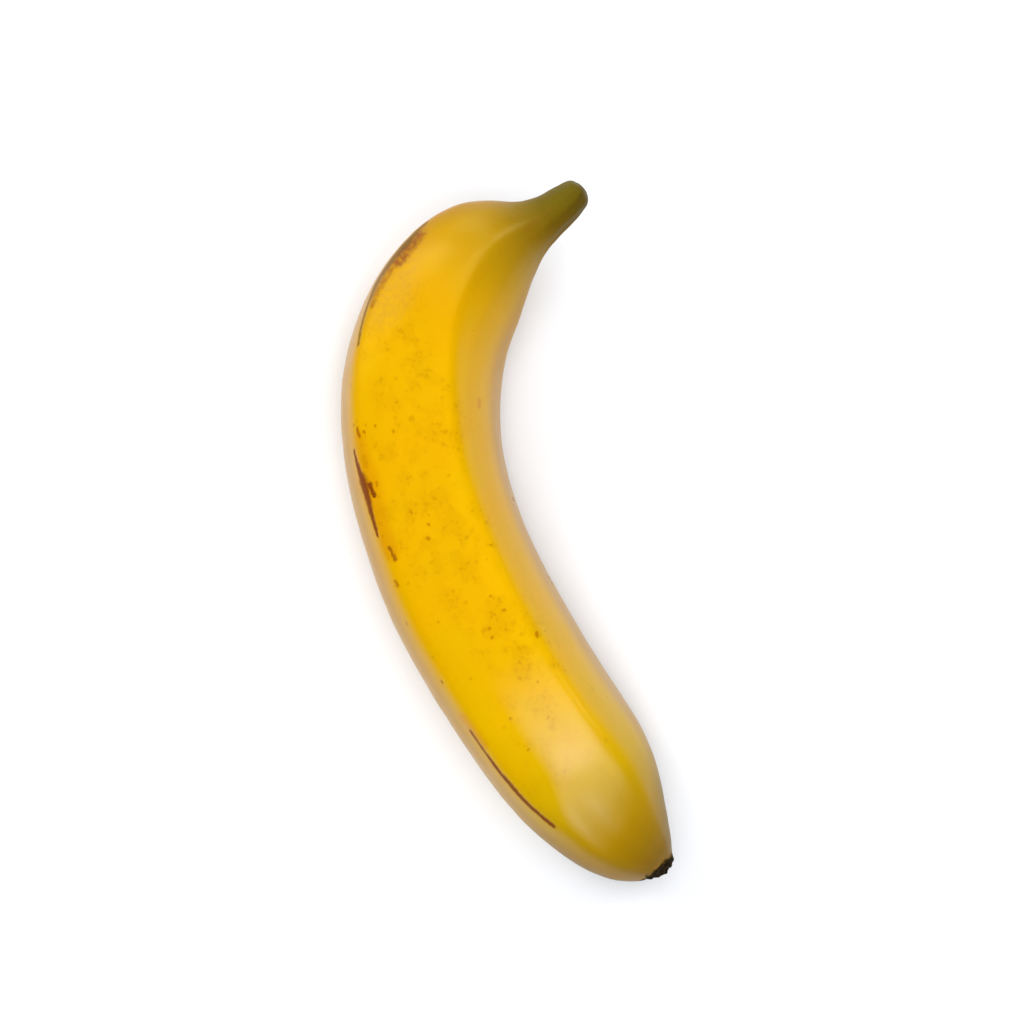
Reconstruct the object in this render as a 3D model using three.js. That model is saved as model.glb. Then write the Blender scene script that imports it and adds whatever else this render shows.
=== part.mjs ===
// A single banana, as picked, lying on its side. Millimetres, +Z up.
//
// The fruit grew as one piece, so it is one mesh: a short cut stalk, a neck, a
// five-faced body and the dried blossom end. It is first turned straight on a
// lathe. Each ring of the turned form is then pressed into a rounded five-sided
// section, and set square across the curved line that the fruit grew along.
//
// +X runs along the chord from the stalk to the blossom end, +Y points to the
// hollow of the curve, and Z = 0 is the surface that the fruit lies on. The
// origin is under the middle of the fruit's box.
import * as THREE from "three";

// Driving dimensions, in mm. "Along" is the distance along the growing line
// from the stalk's cut end.
const LENGTH = 199;
const HEIGHT_TO_WIDTH = 0.95; // the section is a little lower than it is wide
const START = { x: -82.5, y: 31.6 }; // where the growing line begins

// Half the width seen from above, at each distance along the fruit.
const OUTLINE = [
  { along: 0, half: 0 }, // middle of the stalk's cut end
  { along: 0.25, half: 1.5 },
  { along: 1.75, half: 3.5 }, // its rounded rim
  { along: 5, half: 4.5 },
  { along: 11, half: 5.5 }, // stalk
  { along: 16, half: 7.25 }, // neck
  { along: 21, half: 10.5 },
  { along: 27, half: 14 }, // shoulder
  { along: 35, half: 16.5 },
  { along: 47, half: 18 },
  { along: 64, half: 19 },
  { along: 90, half: 19 },
  { along: 116, half: 19.25 }, // fullest part of the body
  { along: 142, half: 19 },
  { along: 160, half: 18.75 },
  { along: 171, half: 17.5 },
  { along: 181, half: 14.5 }, // taper to the blossom end
  { along: 188.5, half: 11 },
  { along: 192.5, half: 8.25 },
  { along: 195, half: 6 }, // foot of the dried blossom stub
  { along: 197, half: 3.5 },
  { along: 198.5, half: 1.75 },
  { along: LENGTH, half: 0 }, // middle of the stub's end
];

// Values at evenly spaced stations, from the stalk's cut end to the blossom end.
// The heading is in degrees from +X towards +Y, the twist in degrees that the
// faces turn about the line, and a ridge of 0 is round, 1 fully five-sided.
const HEADING = [-54, -67, -41, -17, 0, 12, 20, 25, 28, 30, 54];
const CENTRE_HEIGHT = [24, 21, 17.8, 17.6, 17.7, 17.7, 17.7, 17.7, 17.3, 15.2, 13];
const TWIST = [38, 34, 17, 6, 2, 0, 0, 0, -1, -5, -7];
const RIDGE = [0.2, 0.3, 0.45, 0.6, 0.6, 0.6, 0.6, 0.6, 0.6, 0.5, 0.3];

// The five faces of the skin. Turn is the way each one looks, in degrees from
// straight up towards the outside of the curve. Distance is how far out it stands
// before the section is centred and scaled.
const FACES = [
  { turn: 8, distance: 0.96 }, // upper
  { turn: 83, distance: 0.75 }, // outer
  { turn: 136, distance: 0.97 }, // outer, lower
  { turn: 188, distance: 0.95 }, // inner, lower
  { turn: 286, distance: 0.92 }, // inner, upper
];
const SHARPNESS = 13; // higher gives tighter ridges between the faces

// How finely the surface is cut.
const RINGS = 92;
const SIDES = 54;
const LINE_STEPS = 995; // a step every 0.2 mm along the growing line

const radians = THREE.MathUtils.degToRad;

// A smooth curve through evenly spaced station values, read at a share of the length.
function stations(values) {
  const curve = new THREE.SplineCurve(values.map((v, i) => new THREE.Vector2(i, v)));
  return (along) => curve.getPoint(THREE.MathUtils.clamp(along / LENGTH, 0, 1)).y;
}

const headingAt = stations(HEADING);
const centreHeightAt = stations(CENTRE_HEIGHT);
const twistAt = stations(TWIST);
const ridgeAt = stations(RIDGE);

// The growing line in plan, found by walking along its heading in small steps.
function growingLine() {
  const step = LENGTH / LINE_STEPS;
  const points = [new THREE.Vector2(START.x, START.y)];
  for (let i = 0; i < LINE_STEPS; i++) {
    const heading = radians(headingAt((i + 0.5) * step));
    const next = new THREE.Vector2(Math.cos(heading), Math.sin(heading));
    points.push(next.multiplyScalar(step).add(points[i]));
  }
  return points;
}

const line = growingLine();

function pointOnLine(along) {
  const at = THREE.MathUtils.clamp(along / LENGTH, 0, 1) * LINE_STEPS;
  const i = Math.min(Math.floor(at), LINE_STEPS - 1);
  return line[i].clone().lerp(line[i + 1], at - i);
}

// Distance from the line to the skin in one direction, for a body about 1 in
// radius: a p-norm of the five faces rounds the ridges where they meet, and part
// of a circle is mixed in to swell the faces.
function sectionRadius(turn, twist, ridge) {
  let sum = 0;
  for (const face of FACES) {
    const facing = Math.cos(radians(turn - face.turn - twist)) / face.distance;
    sum += Math.max(0, facing) ** SHARPNESS;
  }
  const fiveSided = sum ** (-1 / SHARPNESS);
  return THREE.MathUtils.lerp(1, fiveSided, ridge);
}

// The section at a distance along the fruit, as points across and up, scaled to
// reach exactly 1 either way.
function sectionAt(along) {
  const points = [];
  for (let i = 0; i <= SIDES; i++) {
    const turn = (360 * i) / SIDES;
    const radius = sectionRadius(turn, twistAt(along), ridgeAt(along));
    const angle = radians(turn);
    points.push(new THREE.Vector2(radius * Math.sin(angle), radius * Math.cos(angle)));
  }
  const box = new THREE.Box2().setFromPoints(points);
  const centre = box.getCenter(new THREE.Vector2());
  const half = box.getSize(new THREE.Vector2()).divideScalar(2);
  return points.map((p) => p.sub(centre).divide(half));
}

// The straight fruit, turned about Y, with its vertices moved ring by ring.
function bananaGeometry() {
  const corners = OUTLINE.map((p) => new THREE.Vector2(p.half, p.along));
  const outline = new THREE.SplineCurve(corners).getPoints(RINGS);
  outline[0].x = 0;
  outline[RINGS].x = 0;
  const geometry = new THREE.LatheGeometry(outline, SIDES);
  const position = geometry.getAttribute("position");
  const perSide = outline.length;
  outline.forEach(({ x: half, y: along }, ring) => {
    const section = sectionAt(along);
    const centre = pointOnLine(along);
    const heading = radians(headingAt(along));
    for (let side = 0; side <= SIDES; side++) {
      const outward = section[side].x * half;
      const up = section[side].y * half * HEIGHT_TO_WIDTH;
      position.setXYZ(
        side * perSide + ring,
        centre.x + outward * Math.sin(heading),
        centre.y - outward * Math.cos(heading),
        Math.max(0, centreHeightAt(along) + up), // the skin lies flat where it meets the surface
      );
    }
  });
  geometry.computeVertexNormals();
  return geometry;
}

const peel = new THREE.MeshStandardMaterial({ color: 0xe8b414, roughness: 0.45, metalness: 0 });
const banana = new THREE.Mesh(bananaGeometry(), peel);
banana.name = "banana";

const fruit = new THREE.Group();
fruit.add(banana);

export default fruit;
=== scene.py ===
"""A banana as picked, lying on its side on a pale floor in soft studio light.

The fruit's skin is one surface. Its two parameters are the run, which is the
distance along the skin from the middle of the stalk's cut end, and the turn,
which goes round the fruit: 0 looks straight up, positive turns look to the
outside of the curve. Lengths are in millimetres until a mesh is made.
"""

import logging
import math
from collections.abc import Iterator, Mapping, Sequence
from dataclasses import dataclass, field
from enum import Enum

import bpy
import numpy as np
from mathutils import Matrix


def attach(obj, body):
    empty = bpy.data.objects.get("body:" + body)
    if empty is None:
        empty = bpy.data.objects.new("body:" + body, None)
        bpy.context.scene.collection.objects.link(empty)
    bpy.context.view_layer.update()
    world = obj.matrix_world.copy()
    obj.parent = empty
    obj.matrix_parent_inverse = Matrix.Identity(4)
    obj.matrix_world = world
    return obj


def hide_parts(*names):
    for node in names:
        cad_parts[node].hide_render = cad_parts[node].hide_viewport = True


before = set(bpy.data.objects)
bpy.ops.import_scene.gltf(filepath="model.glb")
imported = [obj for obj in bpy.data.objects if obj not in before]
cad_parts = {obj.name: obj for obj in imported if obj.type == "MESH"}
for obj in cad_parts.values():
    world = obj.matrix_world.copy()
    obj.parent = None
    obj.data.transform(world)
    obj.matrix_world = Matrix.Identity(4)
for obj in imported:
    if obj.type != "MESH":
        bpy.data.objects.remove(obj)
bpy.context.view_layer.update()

log = logging.getLogger("banana")

MM = 0.001
BODY = "root"
BAKE_MAP = "OFBake"

Colour = tuple[float, float, float, float]


# ---------------------------------------------------------------- arithmetic


def srgb(red: int, green: int, blue: int) -> Colour:
    """Turn a colour as a screen shows it into the linear one that shaders use.

    Args:
        red, green, blue: the colour's parts, each from 0 to 255.

    Returns:
        The linear colour, with an alpha of 1.
    """
    parts = (part / 255 for part in (red, green, blue))
    linear = (part / 12.92 if part <= 0.04045 else ((part + 0.055) / 1.055) ** 2.4 for part in parts)
    return (*linear, 1.0)


def through(values: Sequence[float], share: np.ndarray) -> np.ndarray:
    """Read a smooth curve that passes through evenly spaced values.

    Formula: a cubic between each two neighbours, whose slope at a value is half
    the difference between the values on either side of it.

    Args:
        values: the values, from the curve's start to its end.
        share: where to read the curve, from 0 at its start to 1 at its end.

    Returns:
        The curve's value at each share.
    """
    knots = np.asarray(values, float)
    last = len(knots) - 1
    place = np.clip(share, 0, 1) * last
    index = np.minimum(place.astype(int), last - 1)
    part = place - index
    before, start = knots[np.maximum(index - 1, 0)], knots[index]
    end, after = knots[index + 1], knots[np.minimum(index + 2, last)]
    slope_in, slope_out = (end - before) / 2, (after - start) / 2
    cubic = (2 * start - 2 * end + slope_in + slope_out) * part**3
    square = (3 * end - 3 * start - 2 * slope_in - slope_out) * part**2
    return cubic + square + slope_in * part + start


def smooth_step(value: np.ndarray, low: float, high: float) -> np.ndarray:
    """Rise from 0 at low to 1 at high with level ends: 3t^2 - 2t^3 of the share t between them."""
    share = np.clip((value - low) / (high - low), 0, 1)
    return share * share * (3 - 2 * share)


def swell(places: np.ndarray, wavelength: float, seed: int, waves: int = 20) -> np.ndarray:
    """Give a smooth random height over any places.

    Formula: the sum of sine waves with random directions and phases and with
    lengths near the one given, scaled so that most heights lie within 1 of 0.

    Args:
        places: points, with their three coordinates in the last axis.
        wavelength: the usual distance from crest to crest.
        seed: what the random draws start from.
        waves: how many sine waves are added up.

    Returns:
        A height for each place.
    """
    draw = np.random.default_rng(seed)
    directions = draw.normal(size=(waves, 3))
    directions /= np.linalg.norm(directions, axis=1, keepdims=True)
    lengths = wavelength * draw.uniform(0.7, 1.5, waves)
    phases = draw.uniform(0, 2 * math.pi, waves)
    angles = 2 * math.pi * places @ (directions / lengths[:, None]).T + phases
    return np.sin(angles).sum(axis=-1) / math.sqrt(waves)


# ------------------------------------------------------------------ surfaces


def unit(vectors: np.ndarray) -> np.ndarray:
    """Scale each vector to a length of 1, and leave a zero vector as it is."""
    return vectors / np.maximum(np.linalg.norm(vectors, axis=-1, keepdims=True), 1e-12)


def closed_mesh(name: str, grid: np.ndarray, share: np.ndarray) -> bpy.types.Object:
    """Make an object of a surface that goes round like a tube and is closed at both ends.

    The grid's first and last rings are each one point. Between them each ring is
    joined to the next by quads, and the last column to the first. The map for
    baking lays the skin out flat: across it is the share along, up it the turn.

    Args:
        name: the object's name.
        grid: points in mm, as rings by columns by 3.
        share: how far along the map each ring lies, from 0 to 1.

    Returns:
        The object, at the origin, in metres.
    """
    rings, columns = grid.shape[:2]
    inner = grid[1:-1].reshape(-1, 3)
    points = np.vstack([grid[0, :1], inner, grid[-1, :1]]) * MM
    last = len(points) - 1

    column = np.arange(columns)
    beside = (column + 1) % columns
    ring = 1 + np.arange(rings - 3)[:, None] * columns
    quads = np.stack([ring + column, ring + beside, ring + columns + beside, ring + columns + column], -1)
    quads = quads.reshape(-1, 4)
    first_fan = np.stack([np.zeros_like(column), 1 + beside, 1 + column], -1)
    last_ring = 1 + (rings - 3) * columns
    last_fan = np.stack([last_ring + column, last_ring + beside, np.full_like(column, last)], -1)

    across = (column / columns, (column + 1) / columns)
    middle = (column + 0.5) / columns
    ring_share = np.broadcast_to(share[1:-2, None], (rings - 3, columns))
    next_share = np.broadcast_to(share[2:-1, None], (rings - 3, columns))
    left = np.broadcast_to(across[0], ring_share.shape)
    right = np.broadcast_to(across[1], ring_share.shape)
    quad_map = np.stack(
        [
            np.stack([ring_share, left], -1),
            np.stack([ring_share, right], -1),
            np.stack([next_share, right], -1),
            np.stack([next_share, left], -1),
        ],
        2,
    ).reshape(-1, 2)
    near = np.full_like(middle, share[1])
    far = np.full_like(middle, share[-2])
    first_map = np.stack(
        [
            np.stack([np.full_like(middle, share[0]), middle], -1),
            np.stack([near, across[1]], -1),
            np.stack([near, across[0]], -1),
        ],
        1,
    ).reshape(-1, 2)
    last_map = np.stack(
        [
            np.stack([far, across[0]], -1),
            np.stack([far, across[1]], -1),
            np.stack([np.full_like(middle, share[-1]), middle], -1),
        ],
        1,
    ).reshape(-1, 2)

    mesh = bpy.data.meshes.new(name)
    mesh.from_pydata(points.tolist(), [], quads.tolist() + first_fan.tolist() + last_fan.tolist())
    layer = mesh.uv_layers.new(name=BAKE_MAP)
    layer.data.foreach_set("uv", np.vstack([quad_map, first_map, last_map]).astype(np.float32).ravel())
    mesh.polygons.foreach_set("use_smooth", np.ones(len(mesh.polygons), bool))
    mesh.update()
    piece = bpy.data.objects.new(name, mesh)
    bpy.context.scene.collection.objects.link(piece)
    return piece


# ------------------------------------------------------------------- shaders


@dataclass(frozen=True)
class Wire:
    """One output of a node. An expression on wires adds the Math nodes that work it out."""

    shader: "Shader"
    socket: bpy.types.NodeSocket

    def __add__(self, other: "Wire | float") -> "Wire":
        """This wire plus another."""
        return self.shader.math("ADD", self, other)

    def __sub__(self, other: "Wire | float") -> "Wire":
        """This wire minus another."""
        return self.shader.math("SUBTRACT", self, other)

    def __rsub__(self, other: "Wire | float") -> "Wire":
        """A number minus this wire."""
        return self.shader.math("SUBTRACT", other, self)

    def __mul__(self, other: "Wire | float") -> "Wire":
        """This wire times another."""
        return self.shader.math("MULTIPLY", self, other)

    def __truediv__(self, other: "Wire | float") -> "Wire":
        """This wire over another."""
        return self.shader.math("DIVIDE", self, other)

    __radd__ = __add__
    __rmul__ = __mul__

    def other(self, output: str) -> "Wire":
        """Another output of the same node."""
        return Wire(self.shader, self.socket.node.outputs[output])

    def between(self, low: float, high: float) -> "Wire":
        """Rise smoothly from 0 where this wire is low to 1 where it is high.

        Args:
            low: the value that gives 0.
            high: the value that gives 1, which may be the smaller of the two.

        Returns:
            The share, never under 0 or over 1.
        """
        settings = {"interpolation_type": "SMOOTHSTEP"}
        at_min, at_max = (0.0, 1.0) if low < high else (1.0, 0.0)
        inputs = {"Value": self, "From Min": min(low, high), "From Max": max(low, high)}
        inputs |= {"To Min": at_min, "To Max": at_max}
        return self.shader.node("ShaderNodeMapRange", settings, inputs)


class Shader:
    """The node tree of one material, or of the room's light."""

    def __init__(self, owner: bpy.types.Material | bpy.types.World) -> None:
        """Start a material or a world with an empty tree."""
        self.owner = owner
        self.owner.use_nodes = True
        self.tree = self.owner.node_tree
        self.tree.nodes.clear()

    def node(
        self,
        kind: str,
        settings: Mapping[str, object] | None = None,
        inputs: Mapping[str, object] | None = None,
        output: str | int = 0,
    ) -> Wire:
        """Add one node and take one of its outputs.

        Args:
            kind: the node's type.
            settings: its properties. "stops" sets a ramp's places and colours.
            inputs: a value or a wire for each socket, by the socket's identifier or name.
            output: the output that is wanted.

        Returns:
            A wire from that output.
        """
        return Wire(self, self._add(kind, settings or {}, inputs or {}).outputs[output])

    def _add(
        self, kind: str, settings: Mapping[str, object], inputs: Mapping[str, object]
    ) -> bpy.types.Node:
        """Add one node: its type, then its settings, then its sockets' values and links."""
        node = self.tree.nodes.new(kind)
        for name, value in settings.items():
            if name == "stops":
                self._set_stops(node.color_ramp.elements, value)
            else:
                setattr(node, name, value)
        by_identifier = {socket.identifier: socket for socket in node.inputs}
        for name, value in inputs.items():
            socket = by_identifier.get(name) or node.inputs[name]
            if isinstance(value, Wire):
                self.tree.links.new(value.socket, socket)
            else:
                socket.default_value = value
        return node

    @staticmethod
    def _set_stops(elements: bpy.types.bpy_prop_collection, stops: Sequence[tuple[float, Colour]]) -> None:
        """Give a ramp its stops, in order of place."""
        while len(elements) < len(stops):
            elements.new(1.0)
        for element, (place, colour) in zip(elements, stops):
            element.position = place
            element.color = colour

    def math(self, operation: str, *values: Wire | float) -> Wire:
        """Add a Math node: its operation, then its values."""
        node = self.tree.nodes.new("ShaderNodeMath")
        node.operation = operation
        for socket, value in zip(node.inputs, values):
            if isinstance(value, Wire):
                self.tree.links.new(value.socket, socket)
            else:
                socket.default_value = value
        return Wire(self, node.outputs[0])

    def vector(self, x: Wire | float, y: Wire | float, z: Wire | float = 0.0) -> Wire:
        """Join three numbers to a vector."""
        return self.node("ShaderNodeCombineXYZ", inputs={"X": x, "Y": y, "Z": z})

    def vector_math(
        self, operation: str, first: Wire, second: Wire | Sequence[float] = (0, 0, 0), output: str | int = 0
    ) -> Wire:
        """Add a Vector Math node, such as to add two vectors or to measure between them."""
        inputs = {"Vector": first, "Vector_001": second}
        return self.node("ShaderNodeVectorMath", {"operation": operation}, inputs, output)

    def greatest(self, wires: Iterator[Wire]) -> Wire:
        """Take the greatest of several wires.

        Args:
            wires: the wires, each made when it is asked for. A renderer then holds
                only one at a time, as it works through the nodes in the order made.

        Returns:
            The greatest.
        """
        result = next(wires)
        for wire in wires:
            result = self.math("MAXIMUM", result, wire)
        return result

    def scale(self, vector: Sequence[float], share: Wire) -> Wire:
        """A vector times a wire."""
        inputs = {"Vector": vector, "Scale": share}
        return self.node("ShaderNodeVectorMath", {"operation": "SCALE"}, inputs)

    def mix(self, share: Wire | float, first: Wire | Colour, second: Wire | Colour) -> Wire:
        """Mix two colours: all of the first at a share of 0, all of the second at 1."""
        inputs = {"Factor_Float": share, "A_Color": first, "B_Color": second}
        return self.node("ShaderNodeMix", {"data_type": "RGBA"}, inputs, 2)

    def noise(self, place: Wire, size: float, detail: float = 2.0, roughness: float = 0.5) -> Wire:
        """Random soft blobs, about 0.5 on average.

        Args:
            place: where the pattern is read, in mm.
            size: the blobs' size in mm.
            detail: how many finer layers are added.
            roughness: how strong the finer layers are.

        Returns:
            The pattern's height.
        """
        inputs = {"Vector": place, "Scale": 1 / size, "Detail": detail, "Roughness": roughness}
        return self.node("ShaderNodeTexNoise", {"noise_dimensions": "3D"}, inputs)

    def dots(self, place: Wire, spacing: float, radius: float, share: float) -> Wire:
        """Scattered soft dots of mixed sizes, 1 inside a dot and 0 outside.

        Formula: each cell of a random pattern holds a dot round its middle, whose
        radius grows with the cell's own random number once that passes a limit.

        Args:
            place: where the pattern is read, in mm.
            spacing: the usual distance from cell to cell in mm.
            radius: the largest dot's radius in mm.
            share: the share of the cells that hold a dot.

        Returns:
            How far inside a dot the place is.
        """
        inputs = {"Vector": place, "Scale": 1 / spacing, "Randomness": 1.0}
        distance = self.node("ShaderNodeTexVoronoi", {"feature": "F1"}, inputs, "Distance")
        luck = self.node("ShaderNodeSeparateColor", inputs={"Color": distance.other("Color")})
        reach = luck.between(1 - share, 1.0) * (radius / spacing)
        return ((reach - distance) / (0.35 * radius / spacing)).between(0.0, 1.0)

    def finish(self, sockets: Mapping[str, object], height: Wire, depth: float) -> bpy.types.Material:
        """End the tree with a Principled shader.

        Args:
            sockets: the shader's values and wires by socket name.
            height: the height that the Bump node reads, in mm.
            depth: how many metres one unit of that height stands for.

        Returns:
            The finished material.
        """
        bump = self.node("ShaderNodeBump", inputs={"Height": height, "Strength": 1.0, "Distance": depth})
        return self.end(self.node("ShaderNodeBsdfPrincipled", inputs={**sockets, "Normal": bump}))

    def end(
        self, surface: Wire, kind: str = "ShaderNodeOutputMaterial"
    ) -> bpy.types.Material | bpy.types.World:
        """Show a surface through an output of one kind, and return the finished owner."""
        self._add(kind, {}, {"Surface": surface})
        return self.owner


# --------------------------------------------------------- form of the fruit


@dataclass(frozen=True)
class GrowingLine:
    """The curved line that the fruit grew along, seen from above, from stalk to blossom end."""

    length: float = 199
    start: tuple[float, float] = (-82.5, 31.6)
    headings: tuple[float, ...] = (-54, -67, -41, -17, 0, 12, 20, 25, 28, 30, 54)
    heights: tuple[float, ...] = (24, 21, 17.8, 17.6, 17.7, 17.7, 17.7, 17.7, 17.3, 15.2, 13)
    steps: int = 995

    def heading(self, along: np.ndarray) -> np.ndarray:
        """The direction of growth at each distance along the line, in radians from +X to +Y."""
        return np.radians(through(self.headings, along / self.length))

    def middle(self, along: np.ndarray) -> np.ndarray:
        """Find the line's points.

        Formula: the sum of short steps along the heading, from the start.

        Args:
            along: distances along the line.

        Returns:
            The point at each distance, as x, y and z in the last axis.
        """
        step = self.length / self.steps
        heading = self.heading((np.arange(self.steps) + 0.5) * step)
        x = self.start[0] + np.concatenate([[0], np.cumsum(np.cos(heading)) * step])
        y = self.start[1] + np.concatenate([[0], np.cumsum(np.sin(heading)) * step])
        marks = np.linspace(0, self.length, self.steps + 1)
        height = through(self.heights, along / self.length)
        return np.stack([np.interp(along, marks, x), np.interp(along, marks, y), height], -1)


@dataclass(frozen=True)
class Section:
    """The five-faced section of the skin, about 1 in radius."""

    # Each face's turn in degrees, and how far out it stands before scaling.
    faces: tuple[tuple[float, float], ...] = (
        (8, 0.96),  # upper
        (83, 0.75),  # outer
        (136, 0.97),  # outer, lower
        (188, 0.95),  # inner, lower
        (286, 0.92),  # inner, upper
    )
    twists: tuple[float, ...] = (38, 34, 17, 6, 2, 0, 0, 0, -1, -5, -7)
    ridges: tuple[float, ...] = (0.2, 0.3, 0.45, 0.6, 0.6, 0.6, 0.6, 0.6, 0.6, 0.5, 0.3)  # 0 is round
    sharpness: float = 13
    height_to_width: float = 0.95

    def outline(self, share: np.ndarray, turn: np.ndarray) -> tuple[np.ndarray, np.ndarray]:
        """Give the section's points at each share of the fruit's length.

        Formula: a p-norm of the five faces rounds the ridges where they meet, and
        part of a circle is mixed in to swell the faces. Each section is then
        centred and scaled to reach 1 either way.

        Args:
            share: how far along the fruit each ring lies, from 0 to 1.
            turn: the columns' turns in radians.

        Returns:
            The points' reach outward and upward, as rings by columns.
        """
        twist = through(self.twists, share)[:, None]
        total = np.zeros((len(share), len(turn)))
        for looks, distance in self.faces:
            facing = np.cos(turn - np.radians(looks + twist)) / distance
            total += np.maximum(facing, 0) ** self.sharpness
        radius = 1 + (total ** (-1 / self.sharpness) - 1) * through(self.ridges, share)[:, None]
        outward = self._fill(radius * np.sin(turn))
        upward = self._fill(radius * np.cos(turn))
        return outward, upward * self.height_to_width

    @staticmethod
    def _fill(reach: np.ndarray) -> np.ndarray:
        """Centre each ring's reach and scale it to run from -1 to 1."""
        low, high = reach.min(axis=1, keepdims=True), reach.max(axis=1, keepdims=True)
        return (2 * reach - low - high) / (high - low)


@dataclass(frozen=True)
class Profile:
    """Half the width seen from above, as (along, half) points that a smooth curve joins."""

    points: tuple[tuple[float, float], ...] = (
        (0, 0),  # middle of the stalk's cut end
        (0.25, 1.5),
        (1.75, 3.5),  # its rounded rim
        (5, 4.5),
        (11, 5.5),  # stalk
        (16, 7.25),  # neck
        (21, 10.5),
        (27, 14),  # shoulder
        (35, 16.5),
        (47, 18),
        (64, 19),
        (90, 19),
        (116, 19.25),  # fullest part of the body
        (142, 19),
        (160, 18.75),
        (171, 17.5),
        (181, 14.5),  # taper to the blossom end
        (188.5, 11),
        (192.5, 8.25),
        (195, 6),  # foot of the dried blossom stub
        (197, 3.5),
        (198.5, 1.75),
        (199, 0),  # middle of the stub's end
    )
    samples: int = 8000

    def trace(self) -> tuple[np.ndarray, np.ndarray, np.ndarray]:
        """Walk the curve from end to end in small steps.

        Returns:
            The run, the distance along the fruit and half the width at each step.
        """
        share = np.linspace(0, 1, self.samples)
        along = through([point[0] for point in self.points], share)
        half = np.maximum(through([point[1] for point in self.points], share), 0)
        run = np.concatenate([[0], np.cumsum(np.hypot(np.diff(along), np.diff(half)))])
        return run, along, half


@dataclass
class Skin:
    """The banana's whole outside, from the stalk's cut end to the dried blossom stub."""

    line: GrowingLine = field(default_factory=GrowingLine)
    section: Section = field(default_factory=Section)
    profile: Profile = field(default_factory=Profile)
    rings: int = 520
    columns: int = 168
    girth: float = 18.5  # the radius that turns round the body are measured at
    end_fineness: float = 2.2  # how much closer the rings lie at the two ends
    end_reach: float = 16.0  # how far from an end they lie closer

    # Heights of the surface's own relief, and the usual length of its waves.
    swelling: float = 0.16  # broad, shallow unevenness of the body
    swelling_length: float = 34.0
    dimples: float = 0.022  # small unevenness that breaks up the gloss
    dimples_length: float = 6.5
    stalk_grooves: float = 0.06
    grooves_length: float = 4.6
    groove_reach: float = 9.0  # the radius that the grooves are spread round
    groove_stretch: float = 0.12  # how slowly they change along the stalk
    stalk_grain: float = 0.02
    grain_length: float = 2.4
    rim_waves: float = 0.05
    rim_length: float = 2.8
    stub_crumple: float = 0.28
    crumple_length: float = 2.6
    tip_dent: float = 0.3  # a shallow lengthwise hollow on top, near the blossom end
    tip_dent_turn: float = 5.0  # degrees
    tip_dent_width: float = 3.0  # from its middle to where it is about a third as deep
    stub_lean: float = 2.8  # how much further down one side of the stub starts
    cut_hollow: float = 0.1  # how deep the stalk's cut end is sunk
    stub_hollow: float = 0.7  # how deep the stub's end is sunk

    def __post_init__(self) -> None:
        """Trace the profile once, for the run's length and to change along into run."""
        self.runs, self.alongs, self.halves = self.profile.trace()
        self.total_run = float(self.runs[-1])

    def run_at(self, along: float) -> float:
        """The run at a distance along the fruit."""
        return float(np.interp(along, self.alongs, self.runs))

    def flat_place(self, place: tuple[float, float]) -> tuple[float, float, float]:
        """A place on the skin laid flat, from its distance along and its turn in degrees."""
        return self.run_at(place[0]), math.radians(place[1]) * self.girth, 0.0

    def ring_runs(self) -> np.ndarray:
        """Choose the runs of the rings, closer together towards the two ends."""
        run = np.linspace(0, self.total_run, 4000)
        from_end = np.minimum(run, self.total_run - run)
        closeness = 1 + self.end_fineness * (1 - smooth_step(from_end, 0, self.end_reach))
        count = np.concatenate([[0], np.cumsum((closeness[1:] + closeness[:-1]) / 2)])
        return np.interp(np.linspace(0, count[-1], self.rings), count, run)

    def smooth_form(self, run: np.ndarray, turn: np.ndarray) -> np.ndarray:
        """Place the skin without its fine relief.

        Formula: the section at each run, scaled by half the width there, set
        square across the growing line.

        Args:
            run: the rings' runs.
            turn: the columns' turns in radians.

        Returns:
            The points, as rings by columns by 3.
        """
        along = np.interp(run, self.runs, self.alongs)
        half = np.interp(run, self.runs, self.halves)[:, None]
        outward, upward = self.section.outline(along / self.line.length, turn)
        heading = self.line.heading(along)[:, None]
        middle = self.line.middle(along)[:, None]
        side = np.stack([np.sin(heading), -np.cos(heading), np.zeros_like(heading)], -1)
        points = middle + (outward * half)[..., None] * side
        points[..., 2] += upward * half
        return points

    def relief(self, run: np.ndarray, turn: np.ndarray, points: np.ndarray) -> np.ndarray:
        """Work out how far the skin stands proud of the smooth form.

        Formula: broad and fine swells all over, a shallow dent along the top of the
        taper, lengthwise grooves that fade out along the stalk, waves round its rim,
        and a crumple that grows over the blossom stub.

        Args:
            run: the rings' runs.
            turn: the columns' turns in radians.
            points: the smooth form's points.

        Returns:
            The height at each point, as rings by columns.
        """
        run = run[:, None]
        left = self.total_run - run
        body = smooth_step(run, 16, 45) * smooth_step(left, 6, 30)
        height = body * self.swelling * swell(points, self.swelling_length, seed=3)
        height += body * self.dimples * swell(points, self.dimples_length, seed=5)

        from_dent = (turn - math.radians(self.tip_dent_turn)) * self.girth / self.tip_dent_width
        near_tip = smooth_step(left, 10, 18) * (1 - smooth_step(left, 32, 42))
        height -= near_tip * self.tip_dent * np.exp(-from_dent * from_dent)

        around = self.groove_reach * np.sin(turn), self.groove_reach * np.cos(turn)
        straight = np.stack(np.broadcast_arrays(run * self.groove_stretch, *around), -1)
        on_stalk = smooth_step(run, 2, 6) * (1 - smooth_step(run, 14, 34))
        height += on_stalk * self.stalk_grooves * swell(straight, self.grooves_length, seed=7)
        height += on_stalk * self.stalk_grain * swell(points, self.grain_length, seed=9)

        on_stub = 1 - smooth_step(left - self.stub_lean * np.sin(turn), 3.0, 6.0)
        height += on_stub * self.stub_crumple * swell(points, self.crumple_length, seed=11)
        at_rim = smooth_step(run, 1.0, 3.0) * (1 - smooth_step(run, 4.0, 7.5))
        height += at_rim * self.rim_waves * swell(points, self.rim_length, seed=13)
        return height

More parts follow.
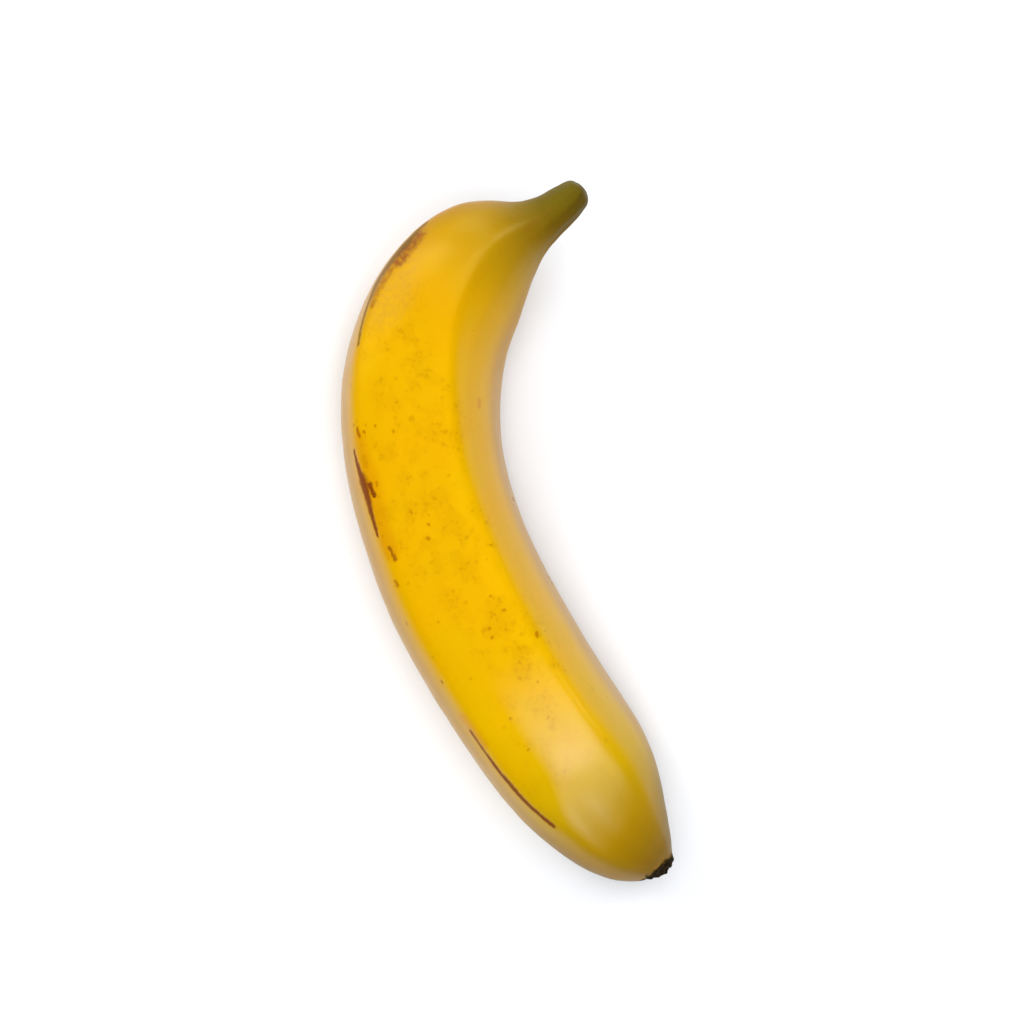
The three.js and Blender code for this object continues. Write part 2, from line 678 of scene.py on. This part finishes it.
    def build(self, name: str) -> bpy.types.Object:
        """Make the skin's mesh: the smooth form, its relief, its sunk ends and its flat side.

        Args:
            name: the object's name.

        Returns:
            The skin.
        """
        run = self.ring_runs()
        turn = np.linspace(-math.pi, math.pi, self.columns, endpoint=False)
        points = self.smooth_form(run, turn)
        lengthwise = np.gradient(points, axis=0)
        crosswise = np.roll(points, -1, axis=1) - np.roll(points, 1, axis=1)
        outward = unit(np.cross(crosswise, lengthwise))
        points += outward * self.relief(run, turn, points)[..., None]

        forward = self.line.heading(np.array([0.0, self.line.length]))
        sunk = self.cut_hollow * (1 - smooth_step(run, 0.4, 2.6))
        points[..., 0] += (sunk * math.cos(forward[0]))[:, None]
        points[..., 1] += (sunk * math.sin(forward[0]))[:, None]
        sunk = self.stub_hollow * (1 - smooth_step(self.total_run - run, 0.3, 2.4))
        points[..., 0] -= (sunk * math.cos(forward[1]))[:, None]
        points[..., 1] -= (sunk * math.sin(forward[1]))[:, None]

        points[..., 2] = np.maximum(points[..., 2], 0)
        points[0], points[-1] = points[0].mean(axis=0), points[-1].mean(axis=0)
        return closed_mesh(name, points, run / self.total_run)


# ------------------------------------------------------------------ finishes


class Damage(Enum):
    """The kinds of mark on the peel, each with its colour."""

    SCAR = srgb(116, 46, 4)
    CORK = srgb(104, 72, 26)
    SPOT = srgb(160, 94, 0)
    STAIN = srgb(196, 124, 6)
    BRUISE = srgb(136, 74, 30)
    HAZE = srgb(188, 136, 38)


Place = tuple[float, float]  # mm along the fruit, and degrees of turn


@dataclass(frozen=True)
class Spot:
    """A round soft-edged spot on the skin."""

    middle: Place
    across: float
    strength: float = 1.0

    def cover(self, shader: Shader, skin: Skin, laid_flat: Wire) -> Wire:
        """How far inside the spot a place on the skin lies, from 0 to the spot's strength."""
        away = shader.vector_math("DISTANCE", laid_flat, skin.flat_place(self.middle), "Value")
        return away.between(0.7 * self.across, 0.25 * self.across) * self.strength


@dataclass(frozen=True)
class Stroke:
    """A soft-edged mark drawn over the skin from one place to another."""

    start: Place
    end: Place
    widths: tuple[float, float]  # at the start and at the end, in mm
    strength: float = 1.0

    def cover(self, shader: Shader, skin: Skin, laid_flat: Wire) -> Wire:
        """Work out how far inside the stroke a place on the skin lies.

        Formula: the distance to the nearest point of the line from start to end,
        as a share of half the stroke's width there.

        Args:
            shader: the tree to add to.
            skin: the surface that the stroke is on.
            laid_flat: places on the skin, laid flat.

        Returns:
            The cover, from 0 outside to the stroke's strength at its middle.
        """
        start, end = np.array(skin.flat_place(self.start)), np.array(skin.flat_place(self.end))
        way = end - start
        reach = shader.vector_math("SUBTRACT", laid_flat, tuple(start))
        part = shader.vector_math("DOT_PRODUCT", reach, tuple(way / (way @ way)), "Value")
        part = shader.node("ShaderNodeClamp", inputs={"Value": part})
        nearest = shader.scale(tuple(way), part)
        away = shader.vector_math("DISTANCE", reach, nearest, "Value")
        half = part * ((self.widths[1] - self.widths[0]) / 2) + self.widths[0] / 2
        return (away / half).between(1.4, 0.5) * self.strength


MARKS: dict[Damage, tuple[Spot | Stroke, ...]] = {
    Damage.SCAR: (
        # The long scuff on the outer ridge at the middle of the body.
        Stroke((78.2, 44.5), (84.2, 39.5), (1.0, 2.4)),
        Stroke((84.2, 39.5), (88.5, 38.2), (3.0, 2.2)),
        Stroke((88.5, 38.2), (95.6, 38.4), (2.0, 1.0)),
        Stroke((85.2, 33.8), (87.4, 32.2), (1.3, 1.1)),
        Stroke((98.9, 31.8), (101.6, 30.4), (0.7, 1.0), 0.75),
        # The thin line on the outer ridge towards the blossom end.
        Stroke((143, 43.5), (150, 41.8), (1.3, 1.3), 0.85),
        Stroke((150, 41.8), (158, 39.6), (1.4, 1.7)),
        Stroke((158, 39.6), (165.5, 38.3), (1.7, 1.5)),
        Stroke((165.5, 38.3), (171.8, 35.6), (1.5, 1.4)),
        Spot((130.1, 41), 0.9, 0.8),
    ),
    Damage.CORK: (
        # The dry edge of the bruise under the shoulder, and the line below it.
        Stroke((33.5, 59), (37.5, 55), (2.0, 3.6), 0.75),
        Stroke((37.5, 55), (45.9, 56), (3.6, 3.2), 0.85),
        Stroke((45.9, 55), (49.8, 51), (3.0, 1.6), 0.8),
        Stroke((49.8, 51), (57.7, 44), (1.4, 0.8), 0.8),
    ),
    Damage.SPOT: (
        Stroke((73.8, 37.6), (75.2, 36.6), (0.9, 0.9)),
        Stroke((106, 36.4), (107.2, 35.7), (0.7, 0.9), 0.8),
        Stroke((131.1, -31.8), (132.1, -31.2), (0.8, 0.7), 0.8),
        Stroke((79.6, 34.3), (81.2, 33.7), (1.3, 1.3), 0.3),
        Stroke((84.9, 28.7), (85.7, 28.3), (0.6, 0.6), 0.6),
        Spot((74.5, 32.5), 0.8, 0.8),
        Spot((73.4, 24.5), 0.7, 0.8),
        Spot((73, 31), 0.7, 0.5),
        Spot((73.1, 41), 0.8, 0.5),
        Spot((74.9, 11.5), 0.7, 0.7),
        Spot((72.2, -1.5), 1.4, 0.35),
        Spot((75.7, -23), 0.8, 0.4),
        Spot((96.8, 1), 0.9, 0.8),
        Spot((99.8, 4), 1.0, 0.8),
        Spot((93, 10), 0.8, 0.7),
        Spot((106.7, -31), 0.8, 0.6),
        Spot((115.4, 44), 0.9, 0.8),
        Spot((118, 20.5), 0.7, 0.6),
        Spot((118.2, -18.5), 0.8, 0.7),
        Spot((122.5, -21.5), 0.8, 0.7),
        Spot((122.5, -15.5), 0.6, 0.6),
        Spot((124.8, -8.5), 0.8, 0.7),
        Spot((126.9, -6.5), 0.9, 0.8),
        Spot((141.5, -17), 0.7, 0.6),
        Spot((149.8, -10.5), 0.7, 0.5),
        Spot((145.3, 11.5), 0.7, 0.6),
        Spot((153.4, 13), 0.8, 0.6),
        Stroke((50.2, 44), (50.6, 43.6), (0.7, 0.7), 0.8),
    ),
    Damage.STAIN: (
        Stroke((66.9, -58.8), (68.6, -58.2), (1.8, 1.8), 0.7),
        # The brown tinge beside the scuff and round the head of the thin line.
        Stroke((76, 37), (84, 35), (3.5, 6), 0.4),
        Stroke((84, 35), (100, 32), (6, 4), 0.45),
        Stroke((140, 43), (147, 39), (4, 3), 0.45),
    ),
    Damage.BRUISE: (
        Stroke((36.2, 50), (40.5, 46.5), (4.6, 4.2)),
        Stroke((41.5, 49), (50, 45), (3.0, 1.8), 0.6),
        Stroke((16.5, -4), (9.5, 3.5), (3.0, 2.0), 0.2),
    ),
    Damage.HAZE: (
        Stroke((38, 46), (48, 34), (11, 12), 0.6),
    ),
}

# Where the fine freckles lie thick.
FRECKLED: tuple[Stroke, ...] = (
    Stroke((46, 30), (56, 12), (14, 14), 0.7),
    Stroke((56, 16), (74, -8), (16, 18)),
    Stroke((84, 18), (103, -8), (18, 20)),
    Stroke((112, -6), (137, -24), (14, 16)),
    Stroke((138, -12), (160, 10), (12, 12), 0.7),
)


@dataclass(frozen=True)
class Peel:
    """The peel's finish: yellow skin with olive ends, freckles, scuffs and a black blossom end, with
    painted light and painted shade in its colour.
    """

    name: str = "peel"
    slot: str = "peel"
    roughness: float = 0.29
    ior: float = 1.34
    gloss: Colour = (1.0, 0.8, 0.03, 1.0)  # tint of the light that the skin itself mirrors
    wax_roughness: float = 0.26
    wax: tuple[float, float] = (0.2, 1.0)  # how thick it is round the stalk, and on top near the tip
    wax_turn: float = 0.2  # how far to the inside of the curve it lies, in radians

    # Depths in mm of the finest relief, and what each thing adds to the roughness.
    grain: float = 0.05
    pores: float = 0.03
    scar_depth: float = 0.05
    crumple: float = 0.5
    uneven_shine: float = 0.08
    dull_ends: float = 0.14
    dull_scars: float = 0.3
    dull_dry: float = 0.6

    # Colours along the fruit, each with its distance along in mm.
    tones: tuple[tuple[float, Colour], ...] = (
        (0.5, srgb(78, 62, 14)),
        (5, srgb(88, 70, 10)),
        (11, srgb(104, 78, 8)),
        (17, srgb(134, 102, 10)),
        (26, srgb(170, 130, 8)),
        (38, srgb(198, 148, 2)),
        (60, srgb(208, 157, 0)),
        (110, srgb(208, 157, 0)),
        (145, srgb(206, 160, 0)),
        (168, srgb(190, 152, 0)),
        (182, srgb(162, 123, 0)),
        (194, srgb(122, 88, 4)),
    )
    wander: float = 5.0  # how far in mm the tones stray along the fruit
    ridge: tuple[float, float] = (-35.0, -26.0)  # turns between which the inner ridge lies
    # Painted light: a paler yellow along the inner ridge.
    ridge_painted_light: Colour = srgb(226, 178, 0)
    olive: Colour = srgb(98, 88, 22)
    amber: Colour = srgb(222, 148, 0)
    # Painted shade on both sides of the fruit.
    painted_side_shade: Colour = srgb(160, 109, 0)
    # Painted shade low on both sides near the blossom end.
    painted_tip_shade: Colour = srgb(104, 84, 4)
    freckle: Colour = srgb(168, 112, 0)
    cut_end: Colour = srgb(92, 70, 36)
    dried: Colour = srgb(18, 8, 12)
    fleck: Colour = srgb(84, 58, 36)

    # How much of each colour is mixed in where it is strongest.
    olive_share: float = 0.5
    amber_share: float = 0.2
    # The next three are the shares of painted light along the ridge and of painted shade on the sides and
    # near the tip.
    ridge_painted_light_share: float = 0.22
    painted_side_shade_share: float = 0.62
    painted_tip_shade_share: float = 0.6
    freckle_veil: float = 0.16
    thick_freckles: float = 0.42
    thin_freckles: float = 0.11
    few_freckles: float = 0.3
    mark_share: float = 0.95
    fleck_share: float = 0.4

    def dress(self, piece: bpy.types.Object, skin: Skin) -> None:
        """Make the material and give it to the skin."""
        piece.data.materials.append(self.make(skin))

    def make(self, skin: Skin) -> bpy.types.Material:
        """Build the node tree.

        Args:
            skin: the surface that the material is for, which says where its runs and turns lie.

        Returns:
            The material.
        """
        shader = Shader(bpy.data.materials.new(self.name))
        flat = shader.node("ShaderNodeUVMap", {"uv_map": BAKE_MAP})
        share = shader.node("ShaderNodeSeparateXYZ", inputs={"Vector": flat}, output="X")
        run = share * skin.total_run
        turn = (share.other("Y") - 0.5) * (2 * math.pi)
        sine, cosine = shader.math("SINE", turn), shader.math("COSINE", turn)
        tube = shader.vector(run * 0.25, sine * skin.girth, cosine * skin.girth)
        object_place = shader.node("ShaderNodeTexCoord", output="Object")
        place = shader.vector_math("MULTIPLY", object_place, (1 / MM, 1 / MM, 1 / MM))
        settings = {"Vector": place, "Scale": 1.0, "Detail": 4.0, "Roughness": 0.7}
        ragged = shader.node("ShaderNodeTexNoise", inputs=settings, output="Color")
        stir = shader.vector_math("SUBTRACT", ragged, (0.5, 0.5, 0.5))
        shift = shader.vector_math("MULTIPLY", stir, (2.0, 1.5, 0.0))
        laid_flat = shader.vector_math("ADD", shader.vector(run, turn * skin.girth), shift)
        stirred = shader.vector_math("ADD", place, shader.vector_math("MULTIPLY", stir, (1.2, 1.2, 1.2)))

        colour = self._ground(shader, skin, run, turn, place, tube)
        colour = self._freckles(shader, skin, run, laid_flat, stirred, colour)
        colour, damaged = self._marks(shader, skin, laid_flat, place, colour)
        colour, dry = self._ends(shader, skin, run, sine, place, colour)

        grain = shader.noise(tube, 0.9, 3.0, 0.6)
        pores = shader.noise(place, 0.55, 2.0, 0.6)
        crumple = shader.noise(place, 0.8, 4.0, 0.7)
        height = grain * self.grain + pores * self.pores
        height = height - damaged * self.scar_depth + dry * crumple * self.crumple
        roughness = self.roughness + (shader.noise(place, 7, 2.0) - 0.5) * self.uneven_shine
        dull = self._rise(skin, run, 150, 184)
        on_stalk = self._rise(skin, run, 24, 12)
        roughness = roughness + (dull + on_stalk) * self.dull_ends
        roughness = roughness + damaged * self.dull_scars + dry * self.dull_dry
        widening = self._rise(skin, run, 158, 176)
        from_middle = shader.math("COSINE", turn + self.wax_turn - widening * 0.12)
        on_top = (from_middle + widening * 0.06).between(0.9, 0.985)
        at_stalk = self._rise(skin, run, 50, 24) * self._rise(skin, run, 10, 22) * self.wax[0]
        at_tip = self._rise(skin, run, 132, 160) * self._rise(skin, run, 186, 172)
        wax = (at_stalk + at_tip * on_top * self.wax[1]) * (1 - dry) * (1 - damaged)
        sockets = {
            "Base Color": colour,
            "Roughness": roughness,
            "IOR": self.ior,
            "Specular Tint": self.gloss,
            "Coat Weight": wax,
            "Coat Roughness": self.wax_roughness,
        }
        return shader.finish(sockets, height, MM)

    @staticmethod
    def _rise(skin: Skin, run: Wire, start: float, full: float) -> Wire:
        """Rise from 0 at one distance along the fruit to 1 at another, both in mm."""
        return run.between(skin.run_at(start), skin.run_at(full))

    def _ground(self, shader: Shader, skin: Skin, run: Wire, turn: Wire, place: Wire, tube: Wire) -> Wire:
        """Colour the skin by its place along the fruit, with soft mottling, painted light along the inner
        ridge and painted shade on its sides, deepest low down near the blossom end.

        Returns:
            The colour before any mark.
        """
        wander = (shader.noise(tube, 9, 3.0) - 0.5) * self.wander
        along = (run + wander) / skin.total_run
        stops = [(skin.run_at(mm) / skin.total_run, tone) for mm, tone in self.tones]
        colour = shader.node("ShaderNodeValToRGB", {"stops": stops}, {"Fac": along})
        up = shader.math("COSINE", turn - math.radians(50))
        olive = up.between(0.1, 0.95) * self._rise(skin, run, 24, 7)
        colour = shader.mix(olive * self.olive_share, colour, self.olive)
        mottle = shader.noise(place, 15, 3.0, 0.5).between(0.36, 0.68)
        on_body = self._rise(skin, run, 24, 48) * self._rise(skin, run, 176, 150)
        colour = shader.mix(mottle * on_body * self.amber_share, colour, self.amber)
        # Painted light: the inner ridge is lightened to a paler yellow.
        inner, outer = (math.radians(turn_at) for turn_at in self.ridge)
        ridge = turn.between(inner - 0.2, inner) * turn.between(outer + 0.2, outer)
        colour = shader.mix(ridge * on_body * self.ridge_painted_light_share, colour, self.ridge_painted_light)
        # Painted shade: both sides darken towards the fruit's edges as seen from above.
        cosine = shader.math("COSINE", turn + math.radians(16))
        painted_side_shade = cosine.between(0.66, 0.2) * cosine.between(-0.7, -0.2) * self._rise(skin, run, 12, 30)
        colour = shader.mix(painted_side_shade * self.painted_side_shade_share, colour, self.painted_side_shade)
        # Painted shade: both sides darken further low down near the blossom end.
        painted_shade_low_at_tip = shader.math("COSINE", turn).between(0.8, 0.1) * self._rise(skin, run, 162, 186)
        return shader.mix(painted_shade_low_at_tip * self.painted_tip_shade_share, colour, self.painted_tip_shade)

    def _freckles(
        self, shader: Shader, skin: Skin, run: Wire, laid_flat: Wire, place: Wire, colour: Wire
    ) -> Wire:
        """Scatter fine freckles, thick in a few places and thin elsewhere.

        Returns:
            The colour with its freckles.
        """
        thick = shader.greatest(stroke.cover(shader, skin, laid_flat) for stroke in FRECKLED)
        uneven = shader.noise(place, 5, 2.0, 0.5).between(0.4, 0.62)
        on_body = self._rise(skin, run, 30, 46) * self._rise(skin, run, 178, 166)
        fine = shader.noise(place, 1.1, 2.0, 0.5).between(0.52, 0.74)
        fine = fine * (thick * uneven * self.thick_freckles + uneven * self.thin_freckles)
        few = shader.dots(place, 3.0, 0.7, 0.6) * self.few_freckles
        colour = shader.mix(thick * uneven * on_body * self.freckle_veil, colour, self.freckle)
        return shader.mix(shader.math("MAXIMUM", fine, few) * on_body, colour, self.freckle)

    def _marks(
        self, shader: Shader, skin: Skin, laid_flat: Wire, place: Wire, colour: Wire
    ) -> tuple[Wire, Wire]:
        """Lay the single marks over the colour, the bruise broken up into blotches.

        Returns:
            The colour with its marks, and how far the skin is damaged, from 0 to 1.
        """
        covers = {
            kind: shader.greatest(mark.cover(shader, skin, laid_flat) for mark in marks)
            for kind, marks in MARKS.items()
        }
        blotches = shader.noise(place, 1.3, 3.0, 0.6).between(0.34, 0.6)
        covers[Damage.BRUISE] = covers[Damage.BRUISE] * (blotches * 0.6 + 0.4)
        covers[Damage.HAZE] = covers[Damage.HAZE] * (blotches * 0.7 + 0.3)
        for kind in (Damage.HAZE, Damage.STAIN, Damage.BRUISE, Damage.CORK, Damage.SPOT, Damage.SCAR):
            colour = shader.mix(covers[kind] * self.mark_share, colour, kind.value)
        return colour, shader.math("MAXIMUM", covers[Damage.SCAR], covers[Damage.CORK])

    def _ends(
        self, shader: Shader, skin: Skin, run: Wire, sine: Wire, place: Wire, colour: Wire
    ) -> tuple[Wire, Wire]:
        """Darken the stalk's cut end and the dried blossom stub.

        Returns:
            The colour with its ends, and how dry the skin is, from 0 to 1.
        """
        ragged = (shader.noise(place, 1.4, 3.0, 0.65) - 0.5) * 4.0
        stub = (run + sine * skin.stub_lean + ragged).between(skin.run_at(195.4), skin.run_at(196.3))
        cut = (run + ragged * 0.2).between(2.4, 1.2)
        colour = shader.mix(cut, colour, self.cut_end)
        flecks = shader.noise(place, 0.8, 3.0, 0.6).between(0.52, 0.7) * self.fleck_share
        colour = shader.mix(stub, colour, shader.mix(flecks, self.dried, self.fleck))
        return colour, shader.math("MAXIMUM", stub, cut * 0.6)


# -------------------------------------------------------------------- studio


@dataclass(frozen=True)
class Softbox:
    """A round softbox, far enough away to light the whole floor alike."""

    name: str
    bearing: float  # degrees from +X towards +Y
    off_zenith: float  # degrees from straight up
    spread: float  # how wide it looks from the fruit, in degrees
    brightness: float  # against a white floor's 1

    def place(self) -> bpy.types.Object:
        """Add the light to the scene.

        Returns:
            The light, which shines back along the way to it.
        """
        data = bpy.data.lights.new(self.name, "SUN")
        data.angle = math.radians(self.spread)
        data.energy = self.brightness * math.pi * math.sin(data.angle / 2) ** 2
        light = bpy.data.objects.new(self.name, data)
        light.rotation_euler = (math.radians(self.off_zenith), 0, math.radians(self.bearing + 90))
        bpy.context.scene.collection.objects.link(light)
        return light


@dataclass(frozen=True)
class Studio:
    """A white floor in a dark room with softboxes, seen from straight above."""

    softboxes: tuple[Softbox, ...] = (
        Softbox("overhead", bearing=280, off_zenith=2, spread=58, brightness=2.4),
        Softbox("key", bearing=25, off_zenith=16, spread=14, brightness=2.4),
        Softbox("blossom side", bearing=22, off_zenith=37, spread=42, brightness=1.4),
        Softbox("blossom side low", bearing=0, off_zenith=57, spread=30, brightness=2.0),
        Softbox("stalk side", bearing=158, off_zenith=37, spread=42, brightness=1.1),
        Softbox("stalk side low", bearing=182, off_zenith=69, spread=32, brightness=2.0),
        Softbox("hollow side", bearing=129, off_zenith=55, spread=34, brightness=2.9),
        Softbox("outer side", bearing=227, off_zenith=56, spread=34, brightness=5.2),
    )
    floor_side: float = 6.0
    floor_colour: Colour = (0.85, 0.87, 0.91, 1.0)
    low_wall: float = 0.3  # brightness of the room near the floor
    room: float = 0.02  # and above
    wall_ends: tuple[float, float] = (0.12, 0.4)  # heights on the unit sphere between which it falls

    # The camera looks straight down. Its aim is a place on the floor in mm.
    aim: tuple[float, float] = (-7.90, 5.09)
    picture_up: float = 172.8  # degrees from +X towards +Y
    picture_side: float = 245.8  # mm across the picture at the fruit's middle height
    middle_height: float = 18.0
    lens: float = 100.0
    sensor: float = 36.0

    def build(self) -> None:
        """Add the floor, the room, the softboxes and the camera."""
        self._floor()
        self._room()
        for softbox in self.softboxes:
            softbox.place()
            log.info("softbox %s at %.0f degrees", softbox.name, softbox.bearing)
        self._camera()
        bpy.context.scene.view_settings.view_transform = "Standard"

    def _floor(self) -> None:
        """Lay a plain pale floor."""
        side = self.floor_side / 2
        mesh = bpy.data.meshes.new("floor")
        corners = [(-side, -side, 0), (side, -side, 0), (side, side, 0), (-side, side, 0)]
        mesh.from_pydata(corners, [], [(0, 1, 2, 3)])
        floor = bpy.data.objects.new("floor", mesh)
        bpy.context.scene.collection.objects.link(floor)
        shader = Shader(bpy.data.materials.new("floor"))
        matt = shader.node("ShaderNodeBsdfDiffuse", inputs={"Color": self.floor_colour})
        mesh.materials.append(shader.end(matt))

    def _room(self) -> None:
        """Light the surroundings: pale near the floor, dark above."""
        shader = Shader(bpy.data.worlds.new("room"))
        direction = shader.node("ShaderNodeTexCoord", output="Generated")
        height = shader.node("ShaderNodeSeparateXYZ", inputs={"Vector": direction}, output="Z")
        glow = height.between(*self.wall_ends) * (self.room - self.low_wall) + self.low_wall
        inputs = {"Color": (1, 1, 1, 1), "Strength": glow}
        light = shader.node("ShaderNodeBackground", inputs=inputs)
        bpy.context.scene.world = shader.end(light, "ShaderNodeOutputWorld")

    def _camera(self) -> None:
        """Hang the camera over the fruit, as far up as its lens needs."""
        data = bpy.data.cameras.new("camera")
        data.lens, data.sensor_width = self.lens, self.sensor
        camera = bpy.data.objects.new("camera", data)
        distance = self.picture_side * self.lens / self.sensor
        camera.location = (self.aim[0] * MM, self.aim[1] * MM, (self.middle_height + distance) * MM)
        camera.rotation_euler = (0, 0, math.radians(self.picture_up - 90))
        bpy.context.scene.collection.objects.link(camera)
        bpy.context.scene.camera = camera


# ---------------------------------------------------------------------- main


@dataclass
class Banana:
    """The whole fruit, in its finish."""

    skin: Skin = field(default_factory=Skin)
    peel: Peel = field(default_factory=Peel)

    def build(self) -> list[bpy.types.Object]:
        """Make every piece, dressed and riding on the body.

        Returns:
            The pieces.
        """
        skin = self.skin.build("banana_skin")
        self.peel.dress(skin, self.skin)
        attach(skin, BODY)
        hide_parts("banana")
        return [skin]


def main() -> None:
    """Build the studio and the fruit, and report each piece."""
    logging.basicConfig(level=logging.INFO, format="%(name)s: %(message)s")
    Studio().build()
    for piece in Banana().build():
        log.info("%s has %d faces", piece.name, len(piece.data.polygons))


if __name__ == "__main__":
    main()
